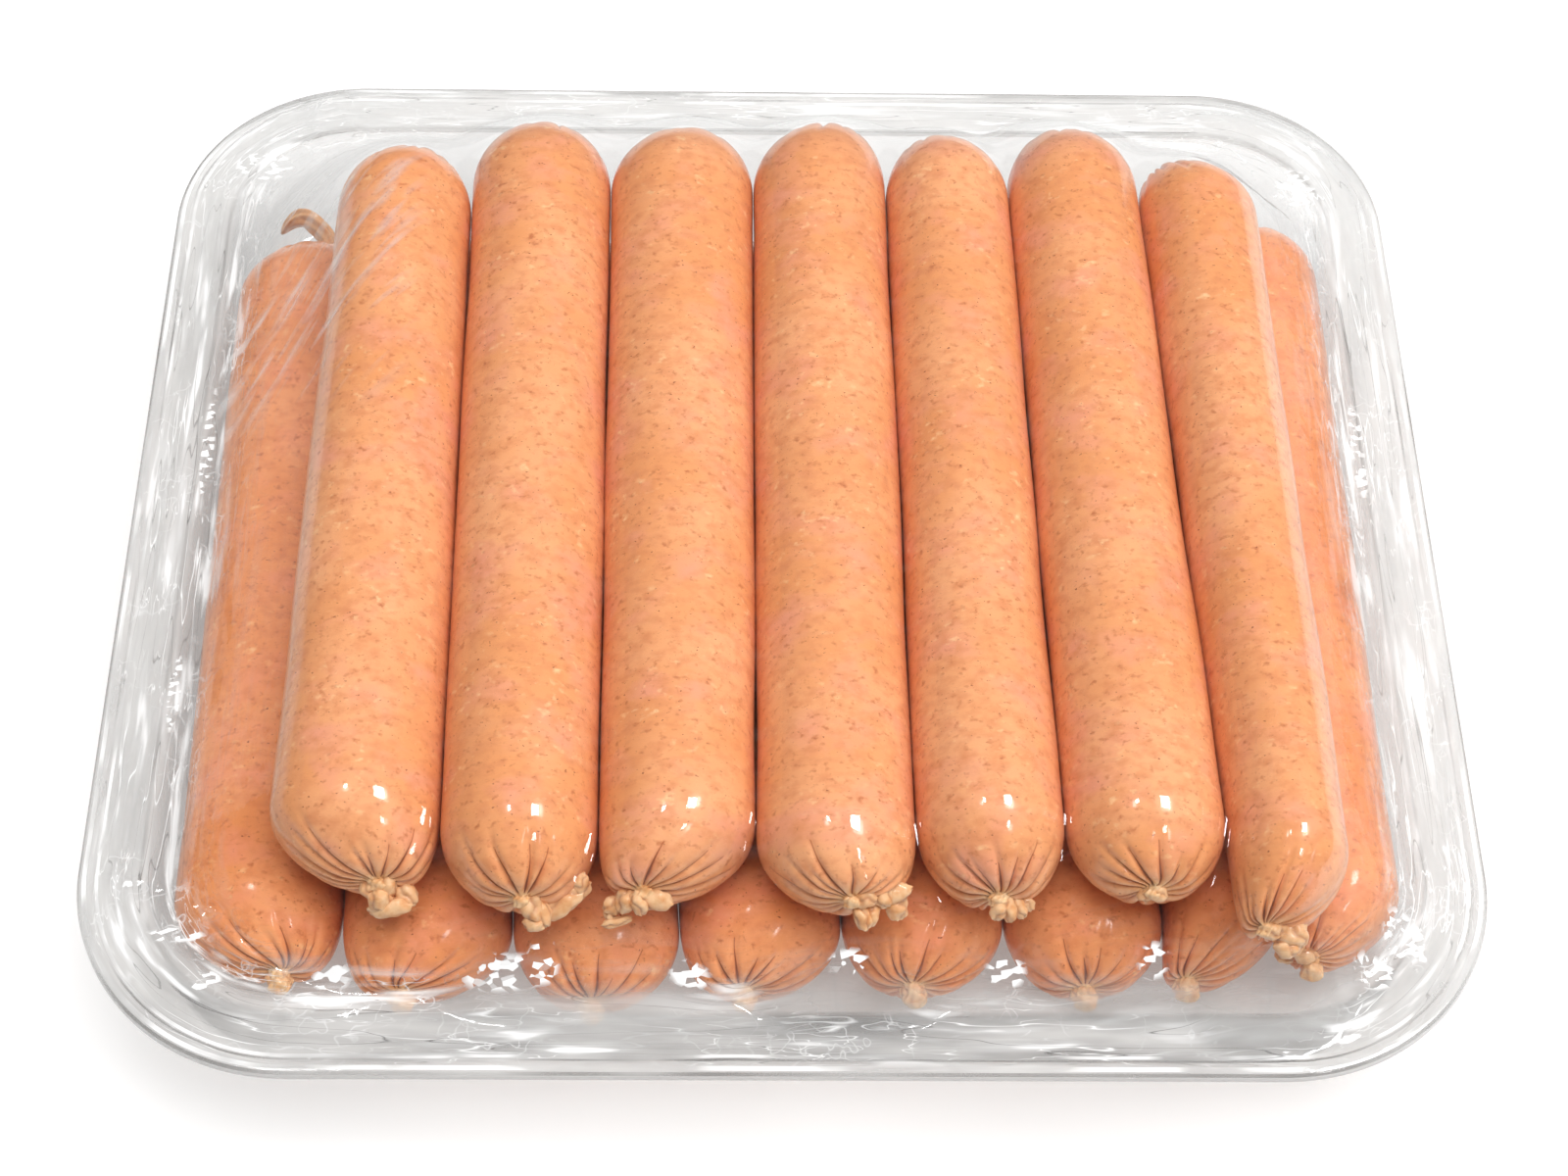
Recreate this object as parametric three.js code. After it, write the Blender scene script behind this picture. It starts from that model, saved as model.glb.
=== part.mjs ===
// A clear tray of raw sausages in two layers, under clear film
// Millimetres, +Z up. The origin is on the underside, in the middle of the tray. The front is towards -Y.
import * as THREE from "three";

// Driving dimensions of the tray
const TRAY_WIDTH = 258;
const TRAY_DEPTH = 239;
const TRAY_HEIGHT = 28;
const FRONT_CORNER_RADIUS = 41;
const BACK_CORNER_RADIUS = 38;
const SHEET = 0.6;
const FLANGE_WIDTH = 12;
const FRONT_FLANGE_EXTRA = 1.6;
const FLANGE_DROP = 0.6;
const BEAD_WIDTH = 2.3;
const SKIRT_DEPTH = 1.7;
const WALL_DRAFT = 0.5;
const FOOT_HEIGHT = 7;
const FOOT_INSET = 18;
const CORNER_STEPS = 7;

// Clear space kept between pieces that touch
const GAP = 0.35;

// Driving dimensions of a sausage
const SAUSAGE_RADIUS = 13.9;
const LEAST_HALF_HEIGHT = 12.6;
const MOST_HALF_HEIGHT = 13.7;
const DOME_LENGTH = 15;
const NECK_RADIUS = 1.8;
const SIDES = 14;
const DOME_STEPS = [0.07, 0.28, 0.58, 1];
const PLEAT_DEPTHS = [0.16, 0.08, 0.02, 0];
const BODY_STEPS = [0.25, 0.5, 0.75];

// Each row lies side by side from its left edge. Lists run from left to right.
// A lean is how far the pleated tip of an end stands off the middle of its sausage, as [x, z].
// A knot is where the twisted casing end goes from that tip, as [x, y, z, radius].
const ROW_BACK = 75;
const ROW_FRONT = -75;
const BOTTOM_ROW = {
  name: "sausage_bottom",
  left: [-116.2, -113.6],
  backWidths: [28.8, 28.7, 29, 28.6, 28.8, 28.8, 28.7, 28.7],
  frontWidths: [31.2, 31.1, 30.5, 29.7, 29.9, 29.4, 22.9, 21.8],
  backs: [82, 86, 84, 87, 85, 83, 86, 89],
  fronts: [-93, -97.5, -98.5, -97, -96, -96, -94, -91],
  frontLeans: [[4.5, 0], [-4.5, 1], [-1.5, -1], [-4, 1], [-3, 1], [-1.5, 0], [-8.5, -1], [-7.5, 2]],
  backLeans: [[3, 0], [0, 0], [1, 0], [-1, 0], [0, 0], [1, 0], [-1, 0], [0, 0]],
  knots: [
    [1, -3, -1, 2],
    [1, -4, -2, 2.4],
    [0, -4, -1, 2.6],
    [-1, -3, -1, 2],
    [0, -4, -2, 2.8],
    [1, -4, -1, 2.2],
    [-2, -3, 0, 2],
    [-1, -3, -2, 2.2],
  ],
};
const TOP_ROW = {
  name: "sausage_top",
  left: [-92.2, -93.6],
  backWidths: [27.2, 28.6, 29.4, 27.4, 25.5, 27, 24.6],
  frontWidths: [30.9, 28.2, 28.2, 28.6, 26.6, 28.6, 21],
  backs: [84.5, 92, 91, 92, 89.5, 93, 86],
  fronts: [-86.5, -91, -89.5, -92, -90, -90, -97],
  frontLeans: [[5, -1], [1, 1], [-6, 2], [2.5, 2.5], [0.5, -1], [0, 1], [-5.5, -1]],
  backLeans: [[0.5, 0], [0, 0], [1, 0], [2, 0], [-1.5, 0], [-1, 0], [-4, 0]],
  knots: [
    [2.5, -5, -3, 3.2],
    [2, -4.5, -3, 3.6],
    [-4.5, -4, -3, 3.2],
    [5, -3.5, -2.5, 3],
    [0.5, -3.5, -2.5, 2.6],
    [0.5, -3, -2.5, 2],
    [4, -4, -3, 3],
  ],
};
// The casing end at the back of each sausage, seen most on the first of the bottom row
const BACK_KNOT = [0.5, 4, -1.5, 2.4];
const BACK_TAIL = [-5, 9, 5, 3];

// Driving dimensions of the film
const FILM_THICKNESS = 0.4;
const FILM_EDGE = 0.3;
const FILM_LIFT = 1.2;
const FILM_SLOPE = 0.95;
const KNOT_TENT = 4;
const FILM_ON_SAUSAGE = [0, 0.155, 0.375, 0.625, 0.845];
const FILM_LEFT = [-128.7, -125, -121, -116.7, -108.6, -100.4];
const FILM_RIGHT = [109.5, 117, 121, 125, 128.7];
const FILM_FRONT_ROWS = [-119.2, -117, -113, -106, -102, -98, -93, -88.5, -84, -80, -75];
const FILM_MIDDLE_ROWS = [-60, -20, 20, 60];
const FILM_BACK_ROWS = [72, 79, 85, 90, 95, 101, 107.7, 113, 117, 119.2];

const MATERIALS = {
  tray: { color: 0xdfe3e4, roughness: 0.08, metalness: 0, transparent: true, opacity: 0.35 },
  film: { color: 0xf2f4f4, roughness: 0.05, metalness: 0, transparent: true, opacity: 0.2 },
  sausage: { color: 0xe39468, roughness: 0.35, metalness: 0 },
};

const lerp = THREE.MathUtils.lerp;
const clamp = THREE.MathUtils.clamp;
const FLOOR_TOP = SHEET;
const FLANGE_TOP = TRAY_HEIGHT - FLANGE_DROP;

// A skin over rings of points that follow each other, closed by a point at each end
function loft(start, rings, end) {
  const points = [start, ...rings.flat(), end];
  const count = rings[0].length;
  const index = [];
  const at = (ring, k) => 1 + ring * count + (k % count);
  for (let k = 0; k < count; k += 1) {
    index.push(0, at(0, k), at(0, k + 1));
    index.push(points.length - 1, at(rings.length - 1, k + 1), at(rings.length - 1, k));
    for (let ring = 0; ring + 1 < rings.length; ring += 1) {
      index.push(at(ring, k), at(ring + 1, k + 1), at(ring, k + 1));
      index.push(at(ring, k), at(ring + 1, k), at(ring + 1, k + 1));
    }
  }
  const geometry = new THREE.BufferGeometry();
  geometry.setAttribute("position", new THREE.Float32BufferAttribute(points.flat(), 3));
  geometry.setIndex(index);
  return geometry;
}

// The tray's outline at a height, moved in from the lip, counter-clockwise from above
function trayRing(inset, z) {
  const corners = [
    [1, -1, FRONT_CORNER_RADIUS, -Math.PI / 2],
    [1, 1, BACK_CORNER_RADIUS, 0],
    [-1, 1, BACK_CORNER_RADIUS, Math.PI / 2],
    [-1, -1, FRONT_CORNER_RADIUS, Math.PI],
  ];
  const ring = [];
  for (const [sideX, sideY, radius, startAngle] of corners) {
    const x = sideX * (TRAY_WIDTH / 2 - radius);
    const extra = sideY < 0 ? FRONT_FLANGE_EXTRA * Math.min(1, inset / FLANGE_WIDTH) : 0;
    const y = sideY * (TRAY_DEPTH / 2 - radius - extra);
    for (let step = 0; step <= CORNER_STEPS; step += 1) {
      const angle = startAngle + ((Math.PI / 2) * step) / CORNER_STEPS;
      ring.push([x + (radius - inset) * Math.cos(angle), y + (radius - inset) * Math.sin(angle), z]);
    }
  }
  return ring;
}

// The tray: a thin sheet drawn down into a box with a flat floor, a flange and a turned-down lip
function trayGeometry() {
  const wallTop = FLANGE_WIDTH;
  const wallFoot = wallTop + WALL_DRAFT;
  const foodSide = [
    [FOOT_INSET, FLOOR_TOP],
    [wallFoot + 2.7, FLOOR_TOP + 0.8],
    [wallFoot + 0.7, FLOOR_TOP + 3],
    [wallFoot, FOOT_HEIGHT],
    [wallTop + 0.05, FLANGE_TOP - 1.4],
    [wallTop - 0.2, FLANGE_TOP - 0.5],
    [wallTop - 0.9, FLANGE_TOP],
    [BEAD_WIDTH, FLANGE_TOP],
    [BEAD_WIDTH - 0.5, TRAY_HEIGHT],
    [0.6, TRAY_HEIGHT],
    [0, TRAY_HEIGHT - 0.5],
    [0, TRAY_HEIGHT - SKIRT_DEPTH],
  ];
  const underside = [
    [SHEET, TRAY_HEIGHT - SKIRT_DEPTH],
    [SHEET, TRAY_HEIGHT - 0.95],
    [BEAD_WIDTH - 0.8, TRAY_HEIGHT - SHEET],
    [BEAD_WIDTH - 0.3, FLANGE_TOP - SHEET],
    [wallTop - 1.15, FLANGE_TOP - SHEET],
    [wallTop - 0.7, FLANGE_TOP - 1],
    [wallTop - 0.55, FLANGE_TOP - 1.6],
    [wallFoot - SHEET, FOOT_HEIGHT],
    [wallFoot + 0.1, FLOOR_TOP + 2.6],
    [wallFoot + 2.2, FLOOR_TOP + 0.2],
    [FOOT_INSET, 0],
  ];
  const rings = [...foodSide, ...underside].map(([inset, z]) => trayRing(inset, z));
  return loft([0, 0, FLOOR_TOP], rings, [0, 0, 0]);
}

// Middles, half widths and half heights of a row's sausages where the row is cut at y
function rowAt(row, y) {
  const share = clamp((ROW_BACK - y) / (ROW_BACK - ROW_FRONT), -0.2, 1.2);
  let edge = lerp(row.left[0], row.left[1], share);
  return row.backWidths.map((backWidth, k) => {
    const width = lerp(backWidth, row.frontWidths[k], share);
    const halfWidth = width / 2;
    const halfHeight = clamp(SAUSAGE_RADIUS ** 2 / halfWidth, LEAST_HALF_HEIGHT, MOST_HALF_HEIGHT);
    const cut = { left: edge, x: edge + halfWidth, halfWidth, halfHeight, z: FLOOR_TOP + GAP + halfHeight };
    edge += width + GAP;
    return cut;
  });
}

// The cut of sausage k at y. One in the top row rests on whichever of those below it meets first.
function sausageAt(row, k, y) {
  const cut = rowAt(row, y)[k];
  if (row === TOP_ROW) {
    const below = rowAt(BOTTOM_ROW, y).map((low) => {
      const reach = cut.halfWidth + low.halfWidth + GAP;
      const lift = Math.sqrt(Math.max(0, 1 - ((cut.x - low.x) / reach) ** 2));
      return low.z + (cut.halfHeight + low.halfHeight + GAP) * lift;
    });
    cut.z = Math.max(...below);
  }
  return cut;
}

// One ring round a sausage. Every other point is drawn in by the depth of a pleat.
function sausageRing(x, y, z, halfWidth, halfHeight, pleat) {
  const ring = [];
  for (let side = 0; side < SIDES; side += 1) {
    const angle = (2 * Math.PI * side) / SIDES;
    const size = side % 2 ? 1 - pleat : 1;
    ring.push([x + size * halfWidth * Math.cos(angle), y, z + size * halfHeight * Math.sin(angle)]);
  }
  return ring;
}

// The rings of one end, from its tip inwards: the twisted casing end, the neck and the pleated dome
function endRings(row, k, tip, inwards, lean, knot) {
  const [knotX, knotY, knotZ, knotRadius] = knot;
  const cutAt = (y) => sausageAt(row, k, y);
  const tipCut = cutAt(tip);
  const x = tipCut.x + lean[0];
  const z = tipCut.z + lean[1];
  const rings = [
    sausageRing(x + knotX, tip + 0.8 * knotY, z + knotZ, 0.75 * knotRadius, 0.7 * knotRadius, 0),
    sausageRing(x + 0.6 * knotX, tip + 0.4 * knotY, z + 0.6 * knotZ, knotRadius, 0.9 * knotRadius, 0.1),
    sausageRing(x, tip, z, NECK_RADIUS, NECK_RADIUS, 0),
  ];
  DOME_STEPS.forEach((step, s) => {
    const y = tip + inwards * step * DOME_LENGTH;
    const cut = cutAt(y);
    const round = Math.sqrt(1 - (1 - step) ** 2);
    const off = (1 - step) ** 2;
    rings.push(
      sausageRing(
        cut.x + lean[0] * off,
        y,
        cut.z + lean[1] * off,
        cut.halfWidth * round,
        cut.halfHeight * round,
        PLEAT_DEPTHS[s],
      ),
    );
  });
  return { point: [x + knotX, tip + knotY, z + knotZ], rings };
}

// A sausage: two pleated ends with their casing twisted shut, and a long round body between them
function sausageGeometry(row, k) {
  const backKnot = row === BOTTOM_ROW && k === 0 ? BACK_TAIL : BACK_KNOT;
  const front = endRings(row, k, row.fronts[k], 1, row.frontLeans[k], row.knots[k]);
  const back = endRings(row, k, row.backs[k], -1, row.backLeans[k], backKnot);
  const bodyFront = row.fronts[k] + DOME_LENGTH;
  const bodyBack = row.backs[k] - DOME_LENGTH;
  const body = BODY_STEPS.map((step) => {
    const y = lerp(bodyFront, bodyBack, step);
    const cut = sausageAt(row, k, y);
    return sausageRing(cut.x, y, cut.z, cut.halfWidth, cut.halfHeight, 0);
  });
  return loft(front.point, [...front.rings, ...body, ...back.rings.reverse()], back.point);
}

// Half the width of the film where the tray is cut at y
function filmHalfWidth(y) {
  const radius = y < 0 ? FRONT_CORNER_RADIUS : BACK_CORNER_RADIUS;
  const past = Math.max(0, Math.abs(y) - (TRAY_DEPTH / 2 - radius));
  const reach = radius - FILM_EDGE;
  return TRAY_WIDTH / 2 - radius + Math.sqrt(Math.max(0, reach ** 2 - past ** 2));
}

// How far a point is in from the tray's lip
function insetAt(x, y) {
  const radius = y < 0 ? FRONT_CORNER_RADIUS : BACK_CORNER_RADIUS;
  const pastX = Math.abs(x) - (TRAY_WIDTH / 2 - radius);
  const pastY = Math.abs(y) - (TRAY_DEPTH / 2 - radius);
  if (pastX > 0 && pastY > 0) {
    return radius - Math.hypot(pastX, pastY);
  }
  return radius - Math.max(pastX, pastY);
}

// How high tight film stands over a round thing of size 1: on its crown, then straight on at the slope
function filmRise(out) {
  const leaves = FILM_SLOPE / Math.hypot(1, FILM_SLOPE);
  if (out < leaves) {
    return Math.sqrt(1 - out ** 2);
  }
  return Math.sqrt(1 - leaves ** 2) - (out - leaves) * FILM_SLOPE;
}

// The height of the film over a sausage
function filmOverSausage(row, k, x, y) {
  const front = row.fronts[k] + DOME_LENGTH;
  const back = row.backs[k] - DOME_LENGTH;
  const [leanX, leanZ] = y < front ? row.frontLeans[k] : row.backLeans[k];
  const cut = sausageAt(row, k, clamp(y, front, back));
  const along = Math.max(front - y, y - back, 0) / DOME_LENGTH;
  const off = Math.min(1, along) ** 2;
  const across = (x - cut.x - leanX * off) / cut.halfWidth;
  return cut.z + leanZ * off + cut.halfHeight * filmRise(Math.hypot(across, along));
}

// The height of the film over the knot at a sausage's front
function filmOverKnot(row, k, x, y) {
  const tip = sausageAt(row, k, row.fronts[k]);
  const [leanX, leanZ] = row.frontLeans[k];
  const [knotX, knotY, knotZ, knotRadius] = row.knots[k];
  const tent = knotRadius + KNOT_TENT;
  const out = Math.hypot(x - tip.x - leanX - 0.7 * knotX, y - row.fronts[k] - 0.6 * knotY) / tent;
  return tip.z + leanZ + 0.7 * knotZ - KNOT_TENT + tent * filmRise(out);
}

// The height of the film's underside: over the sausages, or on the flange and its bead
function filmHeight(x, y) {
  const overLip = TRAY_HEIGHT + 0.5;
  const overFlange = FLANGE_TOP + GAP;
  const share = clamp((insetAt(x, y) - 4) / 4, 0, 1);
  let height = lerp(overLip, overFlange, share);
  for (const row of [BOTTOM_ROW, TOP_ROW]) {
    for (let k = 0; k < row.fronts.length; k += 1) {
      const carried = Math.max(filmOverSausage(row, k, x, y), filmOverKnot(row, k, x, y));
      height = Math.max(height, carried + FILM_LIFT);
    }
  }
  return height;
}

// Where the film's columns of points stand at y: over the side of the tray, then on each sausage in turn
function filmColumns(y) {
  const cuts = rowAt(TOP_ROW, clamp(y, TOP_ROW.fronts[0], TOP_ROW.backs[0]));
  const onSausages = cuts.flatMap((cut) => {
    return FILM_ON_SAUSAGE.map((share) => cut.left + 2 * share * cut.halfWidth);
  });
  const last = cuts[cuts.length - 1];
  const across = [...FILM_LEFT, ...onSausages, last.x + last.halfWidth, ...FILM_RIGHT];
  const squeeze = filmHalfWidth(y) / filmHalfWidth(0);
  return across.map((x) => x * squeeze);
}

// The film: one thin sheet over the sausages and out to the lip, its two faces split alike
function filmGeometry() {
  const rows = [...FILM_FRONT_ROWS, ...FILM_MIDDLE_ROWS, ...FILM_BACK_ROWS];
  const under = rows.map((y) => filmColumns(y).map((x) => [x, y, filmHeight(x, y)]));
  const over = under.map((row) => row.map(([x, y, z]) => [x, y, z + FILM_THICKNESS]));
  const columns = under[0].length;
  const half = rows.length * columns;
  const index = [];
  const at = (row, column) => row * columns + column;
  const edge = (a, b) => index.push(a, b, b + half, a, b + half, a + half);
  for (let row = 0; row + 1 < rows.length; row += 1) {
    for (let column = 0; column + 1 < columns; column += 1) {
      const [a, b] = [at(row, column), at(row, column + 1)];
      const [c, d] = [at(row + 1, column + 1), at(row + 1, column)];
      index.push(a, c, b, a, d, c);
      index.push(a + half, b + half, c + half, a + half, c + half, d + half);
    }
    edge(at(row, columns - 1), at(row + 1, columns - 1));
    edge(at(row + 1, 0), at(row, 0));
  }
  for (let column = 0; column + 1 < columns; column += 1) {
    edge(at(0, column), at(0, column + 1));
    edge(at(rows.length - 1, column + 1), at(rows.length - 1, column));
  }
  const geometry = new THREE.BufferGeometry();
  const points = [...under, ...over].flat(2);
  geometry.setAttribute("position", new THREE.Float32BufferAttribute(points, 3));
  geometry.setIndex(index);
  return geometry;
}

// A named piece of the pack
function piece(name, geometry, look) {
  const mesh = new THREE.Mesh(geometry, new THREE.MeshStandardMaterial(look));
  mesh.name = name;
  return mesh;
}

const pack = new THREE.Group();
pack.add(piece("tray", trayGeometry(), MATERIALS.tray));
for (const row of [BOTTOM_ROW, TOP_ROW]) {
  row.fronts.forEach((front, k) => {
    pack.add(piece(`${row.name}_${k + 1}`, sausageGeometry(row, k), MATERIALS.sausage));
  });
}
pack.add(piece("film", filmGeometry(), MATERIALS.film));

export default pack;
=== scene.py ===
"""Raw sausages in a clear tray under clear film: the looks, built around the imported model."""
import math
from types import SimpleNamespace

import bpy
import numpy as np
from mathutils import Matrix


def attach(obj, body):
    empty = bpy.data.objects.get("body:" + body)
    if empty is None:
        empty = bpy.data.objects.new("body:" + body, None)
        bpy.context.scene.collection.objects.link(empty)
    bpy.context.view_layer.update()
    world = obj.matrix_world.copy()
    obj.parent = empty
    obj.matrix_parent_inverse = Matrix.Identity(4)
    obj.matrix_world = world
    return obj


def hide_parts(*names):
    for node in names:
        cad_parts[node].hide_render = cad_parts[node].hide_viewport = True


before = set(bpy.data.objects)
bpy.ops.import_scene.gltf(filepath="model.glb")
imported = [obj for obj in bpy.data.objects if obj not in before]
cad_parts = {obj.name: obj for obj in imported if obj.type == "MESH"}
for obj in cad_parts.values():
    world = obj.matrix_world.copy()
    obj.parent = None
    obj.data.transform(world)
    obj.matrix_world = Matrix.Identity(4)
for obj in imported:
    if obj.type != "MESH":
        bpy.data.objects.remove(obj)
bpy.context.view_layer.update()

# Sizes in millimetres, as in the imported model. Meshes turn them into metres.
MM = 0.001
TRAY_WIDTH = 258
TRAY_DEPTH = 239
TRAY_HEIGHT = 28
FRONT_CORNER_RADIUS = 41
BACK_CORNER_RADIUS = 38
SHEET = 0.6
FLANGE_WIDTH = 12
FRONT_FLANGE_EXTRA = 1.6
FLANGE_DROP = 0.6
BEAD_WIDTH = 2.3
SKIRT_DEPTH = 1.7
WALL_DRAFT = 0.5
FOOT_HEIGHT = 7
FOOT_INSET = 18
GAP = 0.35
SAUSAGE_RADIUS = 13.9
LEAST_HALF_HEIGHT = 12.6
MOST_HALF_HEIGHT = 13.7
DOME_LENGTH = 15
NECK_RADIUS = 1.8
FLOOR_TOP = SHEET
FLANGE_TOP = TRAY_HEIGHT - FLANGE_DROP

# The two rows of sausages, from left to right. A lean is how far the tip of an end stands off the middle.
ROW_BACK = 75
ROW_FRONT = -75
BOTTOM_ROW = {
    "name": "sausage_bottom",
    "left": [-116.2, -113.6],
    "back_widths": [28.8, 28.7, 29, 28.6, 28.8, 28.8, 28.7, 28.7],
    "front_widths": [31.2, 31.1, 30.5, 29.7, 29.9, 29.4, 22.9, 21.8],
    "backs": [82, 86, 84, 87, 85, 83, 86, 89],
    "fronts": [-93, -97.5, -98.5, -97, -96, -96, -94, -91],
    "front_leans": [[4.5, 0], [-4.5, 1], [-1.5, -1], [-4, 1], [-3, 1], [-1.5, 0], [-8.5, -1], [-7.5, 2]],
    "back_leans": [[3, 0], [0, 0], [1, 0], [-1, 0], [0, 0], [1, 0], [-1, 0], [0, 0]],
}
TOP_ROW = {
    "name": "sausage_top",
    "left": [-92.2, -93.6],
    "back_widths": [27.2, 28.6, 29.4, 27.4, 25.5, 27, 24.6],
    "front_widths": [30.9, 28.2, 28.2, 28.6, 26.6, 28.6, 21],
    "backs": [84.5, 92, 91, 92, 89.5, 93, 86],
    "fronts": [-86.5, -91, -89.5, -92, -90, -90, -97],
    "front_leans": [[5, -1], [1, 1], [-6, 2], [2.5, 2.5], [0.5, -1], [0, 1], [-5.5, -1]],
    "back_leans": [[0.5, 0], [0, 0], [1, 0], [2, 0], [-1.5, 0], [-1, 0], [-4, 0]],
}

# Every sausage, as its row and its number in the row
SAUSAGES = [(row, k) for row in (BOTTOM_ROW, TOP_ROW) for k in range(len(row["fronts"]))]

# Twisted casing ends, as points away from the tip: right, outwards, up, half width, half thickness, roll.
# Outwards is away from the sausage along its length.
PLAIN_KNOT = [
    [0.0, 1.2, -0.2, 1.5, 1.4, 0],
    [0.3, 2.6, -0.8, 2.3, 1.6, 30],
    [0.6, 4.0, -1.6, 2.0, 1.0, 60],
]
SHORT_NECK = [
    [0.2, 0.9, -0.2, 1.8, 1.6, 0],
    [0.4, 1.7, -0.6, 1.2, 1.0, 20],
]
# The crumpled lobes of the knots as the camera sees them.
# Each is off the tip by right and down, with its half sizes and its turn in degrees.
TOP_LOBES = [
    [[-1.9, 1.5, 1.7, 1.2, 1.2, 40], [1.6, 0.4, 2.6, 1.5, 1.4, 85], [0.3, 3.3, 2.1, 1.8, 1.6, 60],
     [2.1, 4.7, 4.0, 1.6, 1.6, -8], [4.8, 2.6, 2.4, 1.7, 1.5, 40]],
    [[1.6, 1.6, 3.0, 1.6, 1.5, 80], [3.2, 2.6, 2.8, 1.5, 1.3, 65], [2.0, 4.6, 2.0, 1.2, 1.1, 15],
     [6.6, 1.3, 4.4, 1.9, 1.3, -30], [8.2, -0.9, 4.0, 2.2, 1.1, -28], [9.6, -2.8, 2.0, 1.7, 1.0, -40]],
    [[2.2, 1.7, 3.2, 1.9, 1.5, 10], [-0.7, 2.1, 2.4, 1.4, 1.6, 75], [-3.1, 1.9, 2.5, 1.6, 1.7, 105],
     [-5.3, 3.0, 2.0, 1.5, 1.4, -25], [-6.0, 4.6, 1.8, 0.9, 0.9, 80], [-4.7, 5.9, 2.8, 0.8, 0.9, -15]],
    [[2.2, 0.0, 2.3, 1.4, 1.4, -10], [5.2, -0.4, 2.2, 1.6, 1.4, 60], [7.4, -0.8, 3.4, 1.7, 1.2, -15],
     [8.0, 1.7, 2.5, 1.8, 1.1, 80], [1.8, 3.3, 2.5, 1.3, 1.2, 70], [3.4, 3.0, 2.4, 1.2, 1.2, 110]],
    [[0.4, 2.0, 2.3, 1.3, 1.2, 115], [2.2, 2.2, 2.4, 1.2, 1.2, 85], [3.8, 1.9, 2.3, 1.2, 1.1, 60],
     [5.2, 1.2, 2.0, 1.1, 1.0, 35]],
    [[0.6, 0.6, 2.0, 1.3, 1.2, 15], [-1.5, 0.9, 1.4, 1.1, 1.0, 60]],
    [[0.8, 0.4, 1.9, 1.5, 1.4, 30], [2.7, 0.4, 1.6, 1.3, 1.2, 80], [5.0, 1.4, 2.9, 2.3, 1.9, 60],
     [3.8, 3.8, 2.4, 1.5, 1.5, 20], [6.3, 0.2, 1.6, 1.3, 1.1, -30]],
]
BOTTOM_LOBES = [[0.3, 0.8, 1.9, 1.5, 1.3, 20], [-1.2, 1.3, 1.5, 1.1, 1.0, 70], [1.3, 1.9, 1.4, 1.0, 0.9, -30]]
LAST_BOTTOM_LOBES = [
    [-3.6, -3.0, 2.7, 1.7, 1.4, -20], [-1.4, -1.2, 2.5, 1.6, 1.3, 20], [-4.6, -0.6, 2.0, 1.3, 1.1, 50],
]
LOBE_RINGS = 20
LOBE_COLUMNS = 44
LOBE_FOLD = 0.24
LOBE_FOLD_SHARPNESS = 2.6
LOBE_FULLNESS = 1.25
LOBE_RISE = 0.35
LOBE_SWEEP = 1.2
# The casing end at the back of the first sausage of the bottom row, which arches up and to the left
BACK_TAIL = [
    [0.5, 1.5, 0.5, 2.3, 1.9, 0],
    [0.3, 4.0, 2.2, 2.2, 1.7, 20],
    [-2.0, 6.3, 4.2, 2.4, 1.6, 40],
    [-5.0, 7.6, 4.6, 2.9, 1.5, 60],
    [-8.0, 7.0, 3.4, 2.8, 1.2, 80],
    [-9.8, 5.6, 1.8, 1.7, 0.9, 90],
]

# How finely the casing is built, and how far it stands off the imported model's round
COLUMNS = 128
DOME_RINGS = 30
BODY_RINGS = 34
KNOT_RINGS = 24
TOUCH = 0.14
SQUARENESS = 0.96

# The pleats of an end: least and most of each, and how deep a pleat is by columns from its middle
PLEAT_COUNTS = (13, 18)
PLEAT_SPACINGS = (0.5, 1.5)
PLEAT_DEPTHS = (0.6, 1.5)
PLEAT_LENGTHS = (7.0, 18.0)
PLEAT_PROFILE = [1.0, 0.40, 0.1]
PLEAT_FADE = 1.3
# A pleat's line of painted shade in its fold: half width, and shares of it and of the pleat's length. Below
# zero there is no line.
LINE_HALF_WIDTH = 0.62
LINE_WIDTHS = (0.3, 1.0)
LINE_LENGTHS = (0.55, 0.85)
NO_LINE = -6.0
# The pillows between pleats, the dimple round the knot, and the turn and the waves of the pleats
PUFF = 0.5
PUFF_REACH = 12
DIMPLE = 1.0
DIMPLE_REACH = 3.0
TWIST = 0.5
TWIST_REACH = 5.0
BEND = 0.035
BEND_REACH = 15
CASING_REACH = 1.8
# How strongly the whole back tail takes the pleats' painted shade colours
TAIL_LINE = 0.1
# The folds of a twisted casing end, as number round it, size and turn from ring to ring
KNOT_FOLDS = [(3, 0.12, 0.35), (7, 0.08, -0.5)]
# The uneven swell of a sausage's middle, as number round it, size and length along it
SWELL = 0.1
SWELL_WAVES = [(2, 1.0, 19), (1, 1.0, -11), (3, 0.6, 7)]


def lerp(a, b, t):
    """The value at share t of the way from a to b."""
    return a + (b - a) * t


def smooth(t):
    """A step from 0 to 1 with soft ends."""
    t = np.clip(t, 0, 1)
    return t * t * (3 - 2 * t)


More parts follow.
